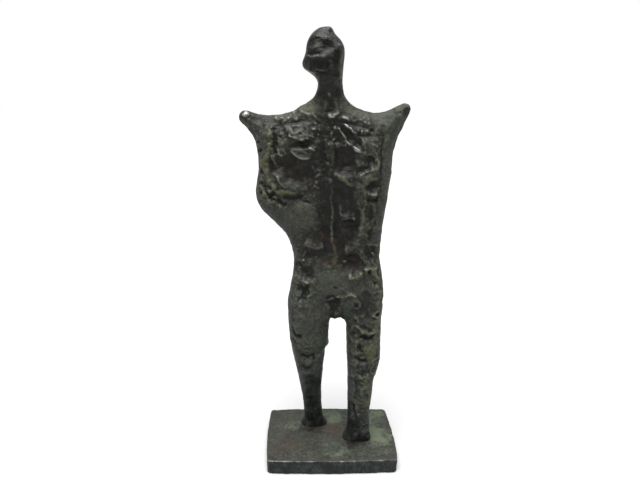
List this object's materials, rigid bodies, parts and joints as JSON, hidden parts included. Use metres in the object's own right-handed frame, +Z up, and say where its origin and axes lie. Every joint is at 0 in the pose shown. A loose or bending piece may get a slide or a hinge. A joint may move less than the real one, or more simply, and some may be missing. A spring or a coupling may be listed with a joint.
{
  "type": "cast bronze statuette",
  "caption": "Abstract standing armless figure in rough cast bronze on a rectangular plate, a free-standing ornament for a shelf or desk.",
  "frame": {"origin": "centre of the felt's underside, on the surface the statuette stands on, under the middle of the plate", "axes": "+Z up; the figure faces -Y, so its right side is at -X; azimuth 0 looks along +Y"},
  "size_m": [0.0853, 0.054, 0.2205],
  "materials": {
    "figure_bronze": "rough cast bronze with a dark olive-brown patina",
    "base_bronze": "mottled olive-brown patina on top, blue-black sides, worn bright edges",
    "dowel_bronze": "plain turned bronze, hidden inside",
    "steel": "plain steel, hidden under the felt",
    "felt": "dark green felt"
  },
  "bodies": {
    "root": {"base_plate": "base_bronze", "felt_pad": "felt", "right_foot_screw": "steel", "left_foot_screw": "steel", "right_foot_washer": "steel", "left_foot_washer": "steel", "right_leg": "figure_bronze", "left_leg": "figure_bronze", "torso": "figure_bronze", "head_and_neck": "figure_bronze", "right_arm_stub": "figure_bronze", "left_arm_stub": "figure_bronze", "neck_dowel": "dowel_bronze", "right_hip_dowel": "dowel_bronze", "left_hip_dowel": "dowel_bronze", "right_shoulder_dowel": "dowel_bronze", "left_shoulder_dowel": "dowel_bronze"}
  },
  "joints": []
}
